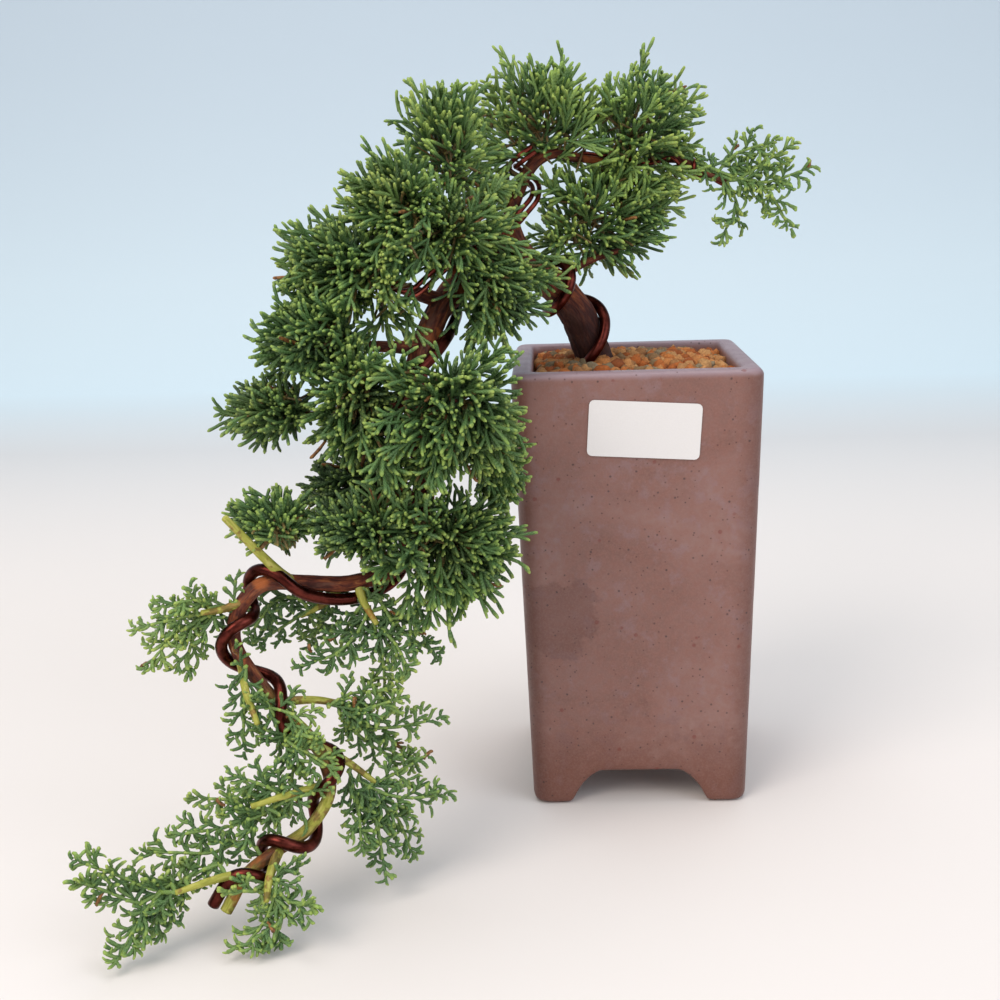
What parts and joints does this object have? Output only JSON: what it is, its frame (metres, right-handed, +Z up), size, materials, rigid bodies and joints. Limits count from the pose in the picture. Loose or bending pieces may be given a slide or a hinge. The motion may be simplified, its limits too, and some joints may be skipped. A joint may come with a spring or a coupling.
{
  "type": "potted cascade bonsai tree",
  "caption": "Wired cascade juniper bonsai with pads of scale-leaf foliage, growing in a tall tapered square stoneware pot on corner feet.",
  "frame": {"origin": "under the middle of the whole object's footprint, on the surface that it stands on", "axes": "+Z up; the pot's front face, with the label, faces -Y; +X to the right as seen from the front; the cascade falls to -X and -Y"},
  "size_m": [0.27, 0.2266, 0.31],
  "materials": {
    "stoneware": "satin mauve-brown fired clay with iron specks",
    "clay_grains": "matt, granular fired clay soil",
    "bark": "rough, flaking red-brown bark",
    "green_wood": "smooth yellow-green young bark",
    "foliage": "waxy scale leaves, stands in for foliage",
    "anodised_wire": "satin brown anodised",
    "copper_brown_wire": "satin copper-brown anodised",
    "label_paper": "semi-gloss blank sticker",
    "mesh_plastic": "matt black net",
    "clip_wire": "plain bright wire"
  },
  "bodies": {
    "root": {"apex_branch": "bark", "bottom_left_stem": "green_wood", "bottom_stem": "green_wood", "cascade_left_stem": "green_wood", "cascade_low_stem": "green_wood", "cascade_right_stem": "green_wood", "centre_branch": "bark", "centre_right_branch": "bark", "crown_left_branch": "bark", "cut_stub": "green_wood", "dark_branch": "bark", "drainage_mesh": "mesh_plastic", "foliage_bottom": "foliage", "foliage_bottom_left": "foliage", "foliage_cascade_left": "foliage", "foliage_cascade_low": "foliage", "foliage_cascade_right": "foliage", "foliage_centre": "foliage", "foliage_centre_left": "foliage", "foliage_centre_right": "foliage", "foliage_crown_centre": "foliage", "foliage_crown_front": "foliage", "foliage_crown_left": "foliage", "foliage_crown_right": "foliage", "foliage_dark": "foliage", "foliage_front_hanging": "foliage", "foliage_hanging": "foliage", "foliage_hanging_left": "foliage", "foliage_left": "foliage", "foliage_left_spray": "foliage", "foliage_left_tip": "foliage", "foliage_left_top": "foliage", "foliage_low_centre": "foliage", "foliage_low_left": "foliage", "foliage_low_left_spray": "foliage", "foliage_low_left_tip": "foliage", "foliage_right_low": "foliage", "foliage_right_spray": "foliage", "foliage_upper_left": "foliage", "hanging_left_stem": "green_wood", "hanging_stem": "green_wood", "label": "label_paper", "left_branch": "bark", "left_low_branch": "bark", "left_spray_stem": "green_wood", "left_top_branch": "bark", "low_centre_branch": "bark", "low_left_branch": "bark", "low_left_stem": "green_wood", "main_wire": "anodised_wire", "mesh_clip": "clip_wire", "pot": "stoneware", "right_low_branch": "bark", "right_spray_branch": "bark", "soil": "clay_grains", "spray_wire": "copper_brown_wire", "thin_wire_lower": "copper_brown_wire", "thin_wire_upper": "copper_brown_wire", "trunk": "bark", "upper_left_branch": "bark"}
  },
  "joints": []
}
